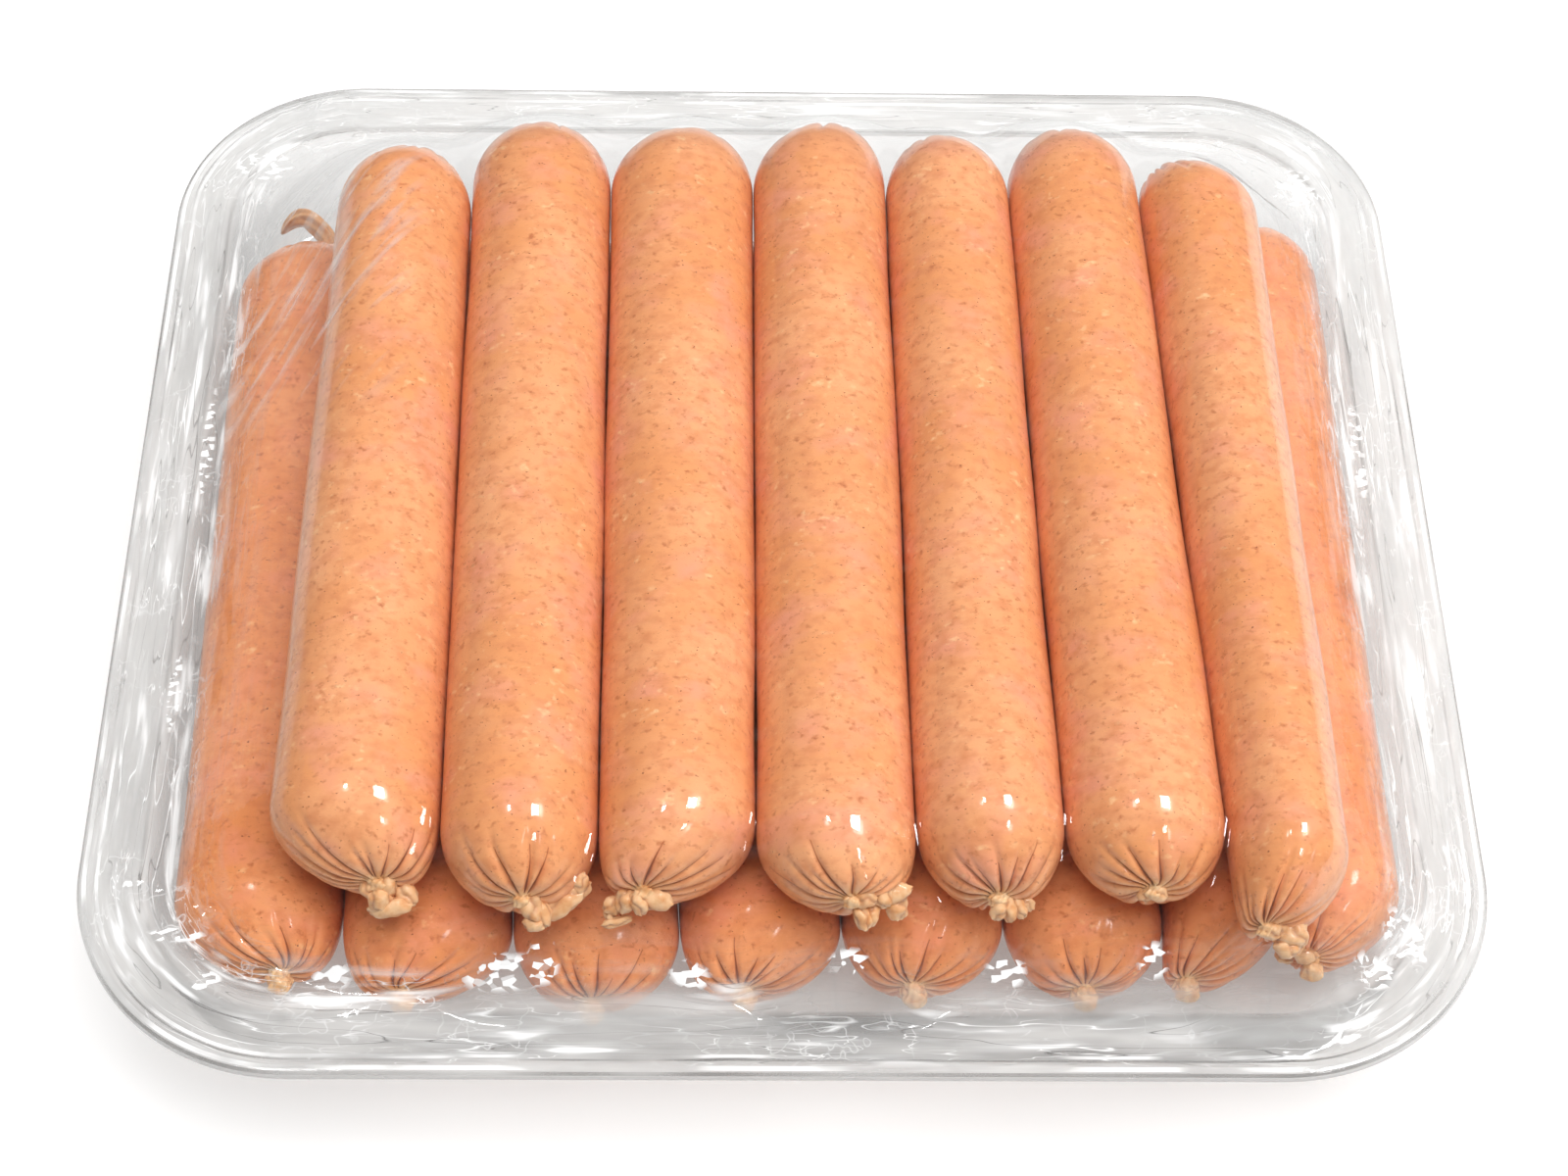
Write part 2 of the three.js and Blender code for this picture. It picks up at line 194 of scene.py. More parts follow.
def row_cuts(row, y):
    """Middles, half widths and half heights of a row's sausages where the row is cut at each y."""
    y = np.asarray(y, float)[..., None]
    share = np.clip((ROW_BACK - y) / (ROW_BACK - ROW_FRONT), -0.2, 1.2)
    width = lerp(np.array(row["back_widths"]), np.array(row["front_widths"]), share)
    half_width = width / 2
    half_height = np.clip(SAUSAGE_RADIUS**2 / half_width, LEAST_HALF_HEIGHT, MOST_HALF_HEIGHT)
    step = width + GAP
    left = lerp(row["left"][0], row["left"][1], share) + np.cumsum(step, -1) - step
    x = left + half_width
    z = FLOOR_TOP + GAP + half_height
    if row is TOP_ROW:
        low = row_cuts(BOTTOM_ROW, y[..., 0])
        reach = half_width[..., None] + low.half_width[..., None, :] + GAP
        off = (x[..., None] - low.x[..., None, :]) / reach
        rise = half_height[..., None] + low.half_height[..., None, :] + GAP
        z = (low.z[..., None, :] + rise * np.sqrt(np.maximum(0, 1 - off**2))).max(-1)
    return SimpleNamespace(x=x, z=z, half_width=half_width, half_height=half_height)


def cut_of(row, k, y):
    """The cut of one sausage at each y."""
    cuts = row_cuts(row, y)
    return SimpleNamespace(**{name: value[..., k] for name, value in vars(cuts).items()})


def new_object(name, points, faces, material, attributes=None):
    """A smooth-shaded mesh object made from points in millimetres."""
    mesh = bpy.data.meshes.new(name)
    mesh.from_pydata((np.asarray(points) * MM).tolist(), [], faces)
    for label, values in (attributes or {}).items():
        values = np.asarray(values, np.float32)
        if values.ndim == 1:
            mesh.attributes.new(label, "FLOAT", "POINT").data.foreach_set("value", values)
        else:
            mesh.attributes.new(label, "FLOAT_VECTOR", "POINT").data.foreach_set("vector", values.ravel())
    mesh.polygons.foreach_set("use_smooth", [True] * len(mesh.polygons))
    mesh.materials.append(material)
    piece = bpy.data.objects.new(name, mesh)
    bpy.context.scene.collection.objects.link(piece)
    return piece


def ring_faces(rings, columns):
    """Faces between rings that follow each other, with a fan to a point at each end."""
    first, last = 0, 1 + rings * columns
    faces = []
    for k in range(columns):
        after = (k + 1) % columns
        faces.append((first, 1 + k, 1 + after))
        base = 1 + (rings - 1) * columns
        faces.append((last, base + after, base + k))
    for ring in range(rings - 1):
        low, high = 1 + ring * columns, 1 + (ring + 1) * columns
        for k in range(columns):
            after = (k + 1) % columns
            faces.append((low + k, high + k, high + after, low + after))
    return faces


# Sausages

def pleats(draw, distance, pitch):
    """Depth of the pleats of one end, its pillows, and the lines of painted shade in its folds, by ring and
    column.
    """
    count = draw.integers(PLEAT_COUNTS[0], PLEAT_COUNTS[1] + 1)
    spacing = draw.uniform(*PLEAT_SPACINGS, count)
    starts = np.cumsum(spacing) / spacing.sum() * COLUMNS
    starts = np.unique(np.round(starts + draw.uniform(0, COLUMNS)).astype(int) % COLUMNS)
    depth = np.zeros((len(distance), COLUMNS))
    line = np.full((len(distance), COLUMNS), NO_LINE)
    columns = np.arange(COLUMNS)
    for column in starts:
        deep = draw.uniform(*PLEAT_DEPTHS)
        length = draw.uniform(*PLEAT_LENGTHS)
        wide = draw.uniform(*LINE_WIDTHS) * LINE_HALF_WIDTH
        drawn = draw.uniform(*LINE_LENGTHS) * length
        along = np.clip(1 - (distance / length) ** 2, 0, 1) ** PLEAT_FADE
        for away, share in enumerate(PLEAT_PROFILE):
            for side in {away, -away}:
                place = (column + side) % COLUMNS
                depth[:, place] = np.maximum(depth[:, place], deep * share * along)
        off = np.abs((columns - column + COLUMNS // 2) % COLUMNS - COLUMNS // 2)
        reach = np.minimum(wide * np.clip(1 - distance / drawn, 0, 1), 1.3 * pitch) + 1e-4
        drawn_here = 1 - off[None, :] * (pitch / reach)[:, None]
        line = np.maximum(line, np.where(distance[:, None] < drawn, drawn_here, NO_LINE))
    gaps = np.diff(np.append(starts, starts[0] + COLUMNS))
    puff = np.zeros(COLUMNS)
    for column, gap in zip(starts, gaps):
        inside = (columns - column) % COLUMNS
        here = inside < gap
        puff[here] = np.sin(np.pi * inside[here] / gap) * min(1, gap / PUFF_REACH)
    crown = PUFF * puff[None, :] * np.clip(1 - (distance[:, None] / PUFF_REACH) ** 2, 0, 1)
    return depth, crown, line


def knot_rings(points, outwards, tip, draw):
    """Rings of a twisted casing end, from its free end to the tip, with their relief."""
    table = np.array([[0, 0, 0, NECK_RADIUS, NECK_RADIUS, 0]] + points, float)
    times = np.linspace(0, len(table) - 1, KNOT_RINGS + 1)[1:]
    smooth_table = np.empty((len(times), 6))
    for i, t in enumerate(times):
        n = min(int(t), len(table) - 2)
        f = t - n
        p0 = table[max(n - 1, 0)]
        p1, p2 = table[n], table[n + 1]
        p3 = table[min(n + 2, len(table) - 1)]
        square, cube = 2 * p0 - 5 * p1 + 4 * p2 - p3, 3 * p1 - p0 - 3 * p2 + p3
        smooth_table[i] = 0.5 * (2 * p1 + (p2 - p0) * f + square * f**2 + cube * f**3)
    centres = smooth_table[:, :3] * [1, outwards, 1]
    path = np.vstack([[0, 0, 0], centres])
    tangents = np.gradient(path, axis=0)
    tangents[0] = [0, outwards, 0]
    tangents /= np.linalg.norm(tangents, axis=1, keepdims=True)
    across = np.array([1.0, 0, 0])
    angle = np.arange(COLUMNS) * 2 * np.pi / COLUMNS
    phase = draw.uniform(0, 2 * np.pi, 3)
    rings = []
    for i in range(len(centres)):
        tangent = tangents[i + 1]
        across = across - tangent * across.dot(tangent)
        across /= np.linalg.norm(across)
        upward = np.cross(tangent, across) * -outwards
        half_width, half_thickness, roll = smooth_table[i, 3:]
        turn = math.radians(roll)
        wide = across * math.cos(turn) + upward * math.sin(turn)
        thick = upward * math.cos(turn) - across * math.sin(turn)
        fold = 1
        for (number, size, turning), start in zip(KNOT_FOLDS, phase):
            fold = fold + size * np.sin(number * angle + start + turning * i)
        close = math.sqrt(max(0.04, 1 - ((i + 1) / len(centres)) ** 6))
        ring = (
            tip + centres[i]
            + np.outer(np.cos(angle - turn) * half_width * fold * close, wide)
            + np.outer(np.sin(angle - turn) * half_thickness * fold * close, thick)
        )
        rings.append(ring)
    return rings[::-1], tip + centres[-1]


def end_parts(row, k, front, draw):
    """One end, from its free end inwards: its last point, rings, pleat lines, casing shares and tip."""
    tip_y = row["fronts" if front else "backs"][k]
    lean_x, lean_z = row["front_leans" if front else "back_leans"][k]
    outwards = -1 if front else 1
    if front and row is TOP_ROW:
        knot = SHORT_NECK
    elif not front and row is BOTTOM_ROW and k == 0:
        knot = BACK_TAIL
    else:
        knot = PLAIN_KNOT
    neck = math.asin(NECK_RADIUS / SAUSAGE_RADIUS)
    theta = np.linspace(neck, math.pi / 2, DOME_RINGS)
    share = 1 - np.cos(theta)
    y = tip_y - outwards * DOME_LENGTH * share
    cut = cut_of(row, k, y)
    off = (1 - share) ** 2
    distance = (theta - neck) * SAUSAGE_RADIUS
    pitch = 2 * math.pi * SAUSAGE_RADIUS * np.sin(theta) / COLUMNS
    depth, crown, line = pleats(draw, distance, pitch)
    angle = np.arange(COLUMNS) * 2 * np.pi / COLUMNS
    twist = draw.uniform(-TWIST, TWIST) * np.exp(-distance / TWIST_REACH)
    waves = draw.uniform(0, 2 * np.pi, 2)
    bend = BEND * np.sin(3 * angle[None, :] + waves[0] + distance[:, None] / 3)
    bend = bend * (smooth(distance / 4) * smooth((BEND_REACH - distance) / 6))[:, None]
    turned = angle[None, :] + twist[:, None] + bend
    cos, sin = squared(np.cos(turned)), squared(np.sin(turned))
    room = np.clip(distance / 3.0, 0.15, 1)[:, None]
    lift = crown - depth * room
    radial = lift * np.sin(theta)[:, None]
    axial = lift * np.cos(theta)[:, None] - (DIMPLE * np.exp(-(distance / DIMPLE_REACH) ** 2))[:, None]
    half_width = (cut.half_width + TOUCH) * np.sin(theta)
    half_height = (cut.half_height + TOUCH) * np.sin(theta)
    x = (cut.x + lean_x * off)[:, None] + (half_width[:, None] + radial) * cos
    z = (cut.z + lean_z * off)[:, None] + (half_height[:, None] + radial) * sin
    yy = y[:, None] + outwards * axial
    dome = np.stack([x, yy, z], -1)
    tip = np.array([cut.x[0] + lean_x, tip_y - outwards * DIMPLE, cut.z[0] + lean_z])
    knots, end = knot_rings(knot, outwards, tip, draw)
    rings = np.concatenate([np.array(knots), dome])
    # The knots' crease value gives them a little of the pleats' painted shade colour, and the back tail more
    knot_line = np.full((len(knots), COLUMNS), TAIL_LINE if knot is BACK_TAIL else -1.0)
    crease = np.concatenate([knot_line, line])
    casing = np.concatenate([np.ones(len(knots)), np.exp(-distance / CASING_REACH)])
    casing = np.repeat(casing[:, None], COLUMNS, 1)
    return end, rings, crease, casing, tip


# The picture's own directions at the camera's pitch: right, down and towards the camera
PICTURE_RIGHT = np.array([1.0, 0, 0])
PICTURE_DOWN = np.array([0, -0.819, -0.574])
PICTURE_NEAR = np.array([0, -0.574, 0.819])


def lobe(spot, tip, radii, draw):
    """A crumpled lobe of casing that lies on the round end: points, faces and the depth of each in a fold,
    which the casing paints as shade.
    """
    right, down, long, wide, thick, turn = spot
    wide, thick = wide * LOBE_FULLNESS, thick * LOBE_FULLNESS
    base = tip + right * PICTURE_RIGHT + down * PICTURE_DOWN
    middle = tip + np.array([0, radii[1], 0])
    start, step = (base - middle) / radii, PICTURE_NEAR / radii
    a, b, c = step.dot(step), step.dot(start), start.dot(start) - 1
    reach = max((-b + math.sqrt(max(0, b * b - a * c))) / a, -0.5 * abs(right))
    centre = base + PICTURE_NEAR * (reach + LOBE_RISE * thick)
    cos, sin = math.cos(math.radians(turn)), math.sin(math.radians(turn))
    axis = cos * PICTURE_RIGHT + sin * PICTURE_DOWN
    aside = cos * PICTURE_DOWN - sin * PICTURE_RIGHT
    polar = np.linspace(math.pi, 0, LOBE_RINGS + 2)[1:-1, None]
    angle = (np.arange(LOBE_COLUMNS) * 2 * np.pi / LOBE_COLUMNS)[None, :]
    folds = draw.integers(2, 5)
    phase = draw.uniform(0, 2 * np.pi, 4)
    sweep = draw.uniform(-LOBE_SWEEP, LOBE_SWEEP)
    bent = sweep * np.cos(polar) + 0.4 * np.sin(4 * polar + phase[1])
    wave = np.abs(np.sin(folds / 2 * angle + phase[0] + bent))
    valley = (1 - wave) ** LOBE_FOLD_SHARPNESS
    lumps = 0.07 * np.sin(4 * polar + 2 * angle + phase[2]) + 0.03 * np.sin(8 * polar - 3 * angle + phase[3])
    size = 1 - LOBE_FOLD * valley * np.sin(polar) + lumps
    points = (
        centre
        + (size * long * np.cos(polar))[..., None] * axis
        + (size * wide * np.sin(polar) * np.cos(angle))[..., None] * aside
        + (size * thick * np.sin(polar) * np.sin(angle))[..., None] * PICTURE_NEAR
    )
    points = np.concatenate([[centre - long * axis], points.reshape(-1, 3), [centre + long * axis]])
    # How deep a point lies in a fold, which the casing's colour turns into painted shade
    deep = np.concatenate([[0], (0.4 * valley * np.ones_like(size)).ravel(), [0]])
    return points, ring_faces(LOBE_RINGS, LOBE_COLUMNS), deep


def squared(value):
    """A cosine or sine drawn slightly towards a square, as a soft round pressed by its neighbours."""
    return np.sign(value) * np.abs(value) ** SQUARENESS


def sausage(row, k, material):
    """One sausage as a single closed skin, from one twisted end to the other."""
    draw = np.random.default_rng(100 * (row is TOP_ROW) + k)
    front_end, front_rings, front_crease, front_casing, tip = end_parts(row, k, True, draw)
    back_end, back_rings, back_crease, back_casing, _ = end_parts(row, k, False, draw)
    y = np.linspace(row["fronts"][k] + DOME_LENGTH, row["backs"][k] - DOME_LENGTH, BODY_RINGS + 2)[1:-1]
    cut = cut_of(row, k, y)
    angle = np.arange(COLUMNS) * 2 * np.pi / COLUMNS
    phases = draw.uniform(0, 2 * np.pi, 4)
    swell = 0
    for (number, size, length), start in zip(SWELL_WAVES, phases):
        swell = swell + size * np.sin(number * angle[None, :] + start + y[:, None] / length)
    fade = smooth(np.minimum(y - y[0], y[-1] - y) / 12)[:, None]
    swell = SWELL * swell * fade
    x = cut.x[:, None] + (cut.half_width[:, None] + TOUCH + swell) * squared(np.cos(angle))
    z = cut.z[:, None] + (cut.half_height[:, None] + TOUCH + swell) * squared(np.sin(angle))
    body = np.stack([x, np.broadcast_to(y[:, None], x.shape), z], -1)
    rings = np.concatenate([front_rings, body, back_rings[::-1]])
    none = np.full((BODY_RINGS, COLUMNS), NO_LINE)
    crease = np.concatenate([front_crease, none, back_crease[::-1]])
    casing = np.concatenate([front_casing, 0 * none, back_casing[::-1]])
    points = [np.concatenate([[front_end], rings.reshape(-1, 3), [back_end]])]
    faces = ring_faces(len(rings), COLUMNS)
    crease = [np.concatenate([[-1], crease.ravel(), [-1]])]
    casing = [np.concatenate([[1], casing.ravel(), [1]])]
    if row is TOP_ROW:
        spots = TOP_LOBES[k]
    else:
        spots = LAST_BOTTOM_LOBES if k == len(row["fronts"]) - 1 else BOTTOM_LOBES
    radii = np.array([cut.half_width[0], DOME_LENGTH, cut.half_height[0]])
    for spot in spots:
        lobe_points, lobe_faces, deep = lobe(spot, tip, radii, draw)
        start = sum(map(len, points))
        faces += [tuple(corner + start for corner in face) for face in lobe_faces]
        points.append(lobe_points)
        crease.append(deep)
        casing.append(np.ones(len(lobe_points)))
    points = np.concatenate(points)
    attributes = {"crease": np.concatenate(crease), "casing": np.concatenate(casing)}
    name = f"{row['name']}_{k + 1}"
    piece = new_object(name + "_casing", points, faces, material, attributes)
    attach(piece, "root")
    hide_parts(name)
    return piece


# Tray

CORNER_STEPS = 26
SIDE_STEPS = 24
TRAY_EDGE_RADIUS = 1.2
# Values for what has no distance in from the lip, and no height
FAR_IN = 99
FAR_DOWN = -50.0


def outline(inset, corner_steps=CORNER_STEPS, side_steps=SIDE_STEPS, least_radius=1.5):
    """The tray's rounded outline, moved in from the lip, counter-clockwise as seen from above."""
    corners = [
        (1, -1, FRONT_CORNER_RADIUS, -math.pi / 2),
        (1, 1, BACK_CORNER_RADIUS, 0),
        (-1, 1, BACK_CORNER_RADIUS, math.pi / 2),
        (-1, -1, FRONT_CORNER_RADIUS, math.pi),
    ]
    arcs = []
    for side_x, side_y, lip_radius, start in corners:
        radius = max(lip_radius - inset, least_radius)
        extra = FRONT_FLANGE_EXTRA * min(1, max(0, inset) / FLANGE_WIDTH) if side_y < 0 else 0
        middle = [
            side_x * (TRAY_WIDTH / 2 - inset - radius),
            side_y * (TRAY_DEPTH / 2 - inset - radius - extra),
        ]
        angle = start + np.linspace(0, math.pi / 2, corner_steps + 1)
        arcs.append(np.array(middle) + radius * np.stack([np.cos(angle), np.sin(angle)], -1))
    ring = []
    for arc, following in zip(arcs, arcs[1:] + arcs[:1]):
        share = np.linspace(0, 1, side_steps + 1)[1:-1, None]
        ring += [arc, lerp(arc[-1], following[0], share)]
    return np.concatenate(ring)


def rounded(profile, radius, steps=4):
    """A profile with each inner corner turned into a short curve."""
    profile = np.array(profile, float)
    out = [profile[0]]
    for before, corner, after in zip(profile, profile[1:], profile[2:]):
        toward, away = before - corner, after - corner
        reach_in = min(radius, np.linalg.norm(toward) * 0.45)
        reach_out = min(radius, np.linalg.norm(away) * 0.45)
        start = corner + toward / np.linalg.norm(toward) * reach_in
        end = corner + away / np.linalg.norm(away) * reach_out
        for t in np.linspace(0, 1, steps):
            out.append((1 - t) ** 2 * start + 2 * t * (1 - t) * corner + t**2 * end)
    out.append(profile[-1])
    return out


def tray(material):
    """The tray: a thin clear sheet drawn down into a box, with a flange, a bead and a turned-down lip."""
    wall_top = FLANGE_WIDTH
    wall_foot = wall_top + WALL_DRAFT
    food_side = [
        [FOOT_INSET, FLOOR_TOP],
        [wall_foot + 2.7, FLOOR_TOP + 0.8],
        [wall_foot + 0.7, FLOOR_TOP + 3],
        [wall_foot, FOOT_HEIGHT],
        [wall_top + 0.05, FLANGE_TOP - 1.4],
        [wall_top - 0.9, FLANGE_TOP],
        [BEAD_WIDTH, FLANGE_TOP],
        [BEAD_WIDTH - 0.5, TRAY_HEIGHT],
        [0.6, TRAY_HEIGHT],
        [0, TRAY_HEIGHT - 0.5],
        [0, TRAY_HEIGHT - SKIRT_DEPTH],
    ]
    underside = [
        [SHEET * 0.8, TRAY_HEIGHT - SKIRT_DEPTH],
        [SHEET, TRAY_HEIGHT - 0.95],
        [BEAD_WIDTH - 0.8, TRAY_HEIGHT - SHEET],
        [BEAD_WIDTH - 0.3, FLANGE_TOP - SHEET],
        [wall_top - 1.15, FLANGE_TOP - SHEET],
        [wall_top - 0.55, FLANGE_TOP - 1.6],
        [wall_foot - SHEET, FOOT_HEIGHT],
        [wall_foot + 0.1, FLOOR_TOP + 2.6],
        [wall_foot + 2.2, FLOOR_TOP + 0.2],
        [FOOT_INSET, 0],
    ]
    profile = rounded(food_side, TRAY_EDGE_RADIUS) + rounded(underside, TRAY_EDGE_RADIUS)
    rings = []
    for inset, z in profile:
        flat = outline(inset)
        rings.append(np.column_stack([flat, np.full(len(flat), z)]))
    points = np.concatenate([[[0, 0, FLOOR_TOP]], *rings, [[0, 0, 0]]])
    insets = np.repeat([inset for inset, z in profile], len(rings[0]))
    attributes = {"inset": np.concatenate([[FAR_IN], insets, [FAR_IN]])}
    piece = new_object("clear_tray", points, ring_faces(len(rings), len(rings[0])), material, attributes)
    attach(piece, "root")
    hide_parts("tray")
    return piece


# Film

FILM_LIFT = 0.9
FILM_SLOPE = 1.05
# How softly the film runs from one sausage to the next, near the flange and in the middle
EDGE_BLEND = 0.9
FILM_BLEND = 2.2
# How softly it comes down on the flange
FLANGE_BLEND = 0.8
# Its height over the lip, by distance in from it
LIP_INSETS = [-0.12, 0.2, 0.7, 1.8, 3.1, 5.0]
LIP_HEIGHTS = [-0.7, 0.0, 0.12, 0.12, -0.35, -0.45]
FILM_RINGS = [-0.12, -0.12, 0.2, 0.7, 1.2, 1.8, 2.4, 3.1] + [3.1 + 0.9 * n for n in range(1, 28)]
FILM_INNER_STEP = 2.0
FILM_CORNER_STEPS = 56
FILM_SIDE_STEPS = 130
FILM_LEAST_RADIUS = 0.8
# In from the lip: where EDGE_BLEND ends and FILM_BLEND starts, and where the film first may leave the flange
BLEND_INSETS = [14, 32]
LIFT_INSETS = [3.1, 6.0]
# The film counts as lying on a sausage below this gap, and is a little hazy over the back ends
CLEAR_GAP = 1.5
BACK_HAZE = 0.3
# The folds: how much of their height is left, by distance in from the lip, their numbers and their sizes
CREASE_SEED = 11
CREASED_INSETS = [0.7, 3.0, 24, 34]
CREASED_SHARES = [0, 1, 1, 0]
CORNER_CREASES = 34
LEFT_AND_RIGHT_CREASES = 36
FRONT_AND_BACK_CREASES = 26
CREASE_HEIGHTS = (0.15, 0.5)
CREASE_WIDTHS = (0.5, 1.1)
# Where the film is tucked in folds that get painted glints, as middle and half size: between the front ends
# and at the corners
FILM_TUCK_GLINTS = [
    [-81, -101, 3.5, 2.0], [-50, -102.5, 7.5, 2.4], [-43, -101, 2.5, 3.0], [-17, -102, 3.5, 1.8],
    [11, -102, 3.5, 1.8], [39, -101.5, 3.5, 2.2], [65, -101, 2.6, 2.4], [-104, -101, 3.2, 2.0],
    [-110, -92, 5, 1.4], [112, -92, 4, 5], [106, -99, 4, 3], [-116, -40, 1.2, 9], [-116, 20, 1.2, 14],
    [117, 20, 1.5, 12], [-112, 96, 6, 4], [112, 92, 4, 5],
]


def film_rise(out):
    """How high tight film stands over a round thing of size 1: on its crown, then on at the slope."""
    leaves = FILM_SLOPE / math.hypot(1, FILM_SLOPE)
    crown = np.sqrt(1 - np.minimum(out, leaves) ** 2)
    return crown - np.maximum(0, out - leaves) * FILM_SLOPE


def sausage_below(row, k, y):
    """One sausage's cut at each y, how far y is along its round end, and whether that is the front one."""
    front = row["fronts"][k] + DOME_LENGTH
    back = row["backs"][k] - DOME_LENGTH
    cut = cut_of(row, k, np.clip(y, front, back))
    return cut, np.maximum(0, np.maximum(front - y, y - back)) / DOME_LENGTH, y < front


def film_over_sausage(row, k, x, y):
    """The height of the film over one sausage."""
    cut, along, in_front = sausage_below(row, k, y)
    lean_x = np.where(in_front, row["front_leans"][k][0], row["back_leans"][k][0])
    lean_z = np.where(in_front, row["front_leans"][k][1], row["back_leans"][k][1])
    off = np.minimum(1, along) ** 2
    across = (x - cut.x - lean_x * off) / cut.half_width
    return cut.z + lean_z * off + cut.half_height * film_rise(np.hypot(across, along))


def film_points():
    """Rings of points of the film from the lip to the middle, and how far each is in from the lip."""
    last = TRAY_DEPTH / 2 - FRONT_FLANGE_EXTRA - 2
    insets = FILM_RINGS + list(np.arange(FILM_RINGS[-1] + FILM_INNER_STEP, last, FILM_INNER_STEP)) + [last]
    finely = (FILM_CORNER_STEPS, FILM_SIDE_STEPS, FILM_LEAST_RADIUS)
    flat = np.array([outline(inset, *finely) for inset in insets])
    return flat[..., 0], flat[..., 1], np.array(insets)


def film_height(x, y, insets):
    """The height of the film: over the bead, on the flange, and over the sausages."""
    flange = np.broadcast_to((TRAY_HEIGHT + np.interp(insets, LIP_INSETS, LIP_HEIGHTS))[:, None], x.shape)
    total = np.zeros_like(x)
    blend = np.interp(insets, BLEND_INSETS, [EDGE_BLEND, FILM_BLEND])[:, None]
    for row, k in SAUSAGES:
        total += np.exp((film_over_sausage(row, k, x, y) + FILM_LIFT - TRAY_HEIGHT) / blend)
    carried = TRAY_HEIGHT + blend * np.log(np.maximum(total, 1e-30))
    apart = carried - flange
    eased = flange + (apart + FLANGE_BLEND) ** 2 / (4 * FLANGE_BLEND)
    joined = np.where(np.abs(apart) < FLANGE_BLEND, eased, np.maximum(flange, carried))
    share = np.interp(insets, LIFT_INSETS, [0, 1])[:, None]
    height = lerp(flange, joined, share)
    height[0] = TRAY_HEIGHT - SKIRT_DEPTH
    return height


def carried_height(x, y):
    """The height of the sausages' own skin below the film, and far down where there is none."""
    height = np.full(x.shape, FAR_DOWN)
    for row, k in SAUSAGES:
        cut, along, _ = sausage_below(row, k, y)
        out = np.hypot((x - cut.x) / cut.half_width, along)
        skin = cut.z + cut.half_height * np.sqrt(np.maximum(0, 1 - out**2))
        height = np.maximum(height, np.where(out < 1, skin, FAR_DOWN))
    return height


def creases(x, y, draw):
    """Fine folds of the film: ridges along short, slightly curved lines at the corners and sides."""
    relief = np.zeros_like(x)
    plans = []
    for side_x, side_y in ((1, -1), (1, 1), (-1, 1), (-1, -1)):
        radius = FRONT_CORNER_RADIUS if side_y < 0 else BACK_CORNER_RADIUS
        middle = np.array([side_x * (TRAY_WIDTH / 2 - radius), side_y * (TRAY_DEPTH / 2 - radius)])
        for _ in range(CORNER_CREASES):
            angle = math.atan2(side_y, side_x) + draw.uniform(-0.95, 0.95)
            reach = radius - draw.uniform(3, 26)
            start = middle + reach * np.array([math.cos(angle), math.sin(angle)])
            heading = angle + draw.choice([0, math.pi / 2]) + draw.normal(0, 0.45)
            plans.append((start, heading, draw.uniform(4, 18)))
    for side in (-1, 1):
        for _ in range(LEFT_AND_RIGHT_CREASES):
            start = np.array([side * (TRAY_WIDTH / 2 - draw.uniform(3, 22)), draw.uniform(-85, 85)])
            plans.append((start, math.pi / 2 + draw.normal(0, 0.12), draw.uniform(6, 40)))
        for _ in range(FRONT_AND_BACK_CREASES):
            start = np.array([draw.uniform(-95, 95), side * (TRAY_DEPTH / 2 - draw.uniform(3, 20))])
            plans.append((start, draw.normal(0, 0.12), draw.uniform(6, 36)))
    for start, heading, length in plans:
        direction = np.array([math.cos(heading), math.sin(heading)])
        along = (x - start[0]) * direction[0] + (y - start[1]) * direction[1]
        across = -(x - start[0]) * direction[1] + (y - start[1]) * direction[0]
        across = across + draw.normal(0, 0.012) * along**2
        share = np.clip(1 - (2 * along / length) ** 2, 0, 1)
        height = draw.uniform(*CREASE_HEIGHTS)
        relief += height * share * np.exp(-np.abs(across) / draw.uniform(*CREASE_WIDTHS))
    return relief


def film_shares(x, y, insets, tight):
    """What the film's material reads at each point: haze, where painted glints, sheen and dark lines go, and
    the place along and in from the lip.
    """
    depth = insets[:, None]
    above = tight - TRAY_HEIGHT
    # The film is clear where it lies on a sausage, and hazy on the flange and a little over the back ends
    clear = smooth((carried_height(x, y) + CLEAR_GAP - tight) / CLEAR_GAP)
    haze = np.interp(depth, [0, 4, 12, 14.5, 24], [0.8, 1, 1, 0.06, 0])
    haze = np.minimum(haze, 1 - 0.9 * smooth((above - 2) / 6))
    haze = np.maximum(haze, BACK_HAZE * smooth((y - 70) / 20)) * (1 - clear)
    # It gets painted sheen streaks where it is dragged over the back left sausages, and painted glints and
    # dark reflection lines where it is wrinkled along the flange
    drag_sheen_area = smooth((-70 - x) / 10) * smooth((y - 5) / 30) * smooth((depth - 10) / 6)
    wrinkle_glints_and_lines = np.interp(depth, [0, 1, 3, 15, 21, 30], [0, 0.3, 1, 1, 0.22, 0.03]) * (1 - 0.85 * clear)
    wrinkle_glints_and_lines = wrinkle_glints_and_lines * (1 - 0.8 * smooth((-80 - y) / 10) * smooth((above - 0.5) / 3))
    # Painted glints where it is tucked in folds
    tuck_glints = np.zeros_like(x)
    for tuck_x, tuck_y, half_x, half_y in FILM_TUCK_GLINTS:
        away = np.hypot((x - tuck_x) / half_x, (y - tuck_y) / half_y)
        tuck_glints = np.maximum(tuck_glints, smooth(1.5 - away))
    # The walk along the lip is rolled up into a circle, so that a noise over it meets itself
    edge = np.column_stack([x[0], y[0]])
    walk = np.cumsum(np.linalg.norm(edge - np.roll(edge, 1, 0), axis=1))
    around = 2 * np.pi * walk / walk[-1]
    reach = walk[-1] / (2 * np.pi) * MM
    along = [reach * np.cos(around), reach * np.sin(around), depth * MM]
    along = np.stack([np.broadcast_to(part, x.shape) for part in along], -1)
    shares = {"haze": haze, "wrinkle_glints_and_lines": wrinkle_glints_and_lines, "tuck_glints": tuck_glints, "drag_sheen_area": drag_sheen_area}
    shares["inset"] = np.broadcast_to(depth, x.shape)
    attributes = {name: values.ravel() for name, values in shares.items()}
    attributes["along"] = along.reshape(-1, 3)
    return attributes


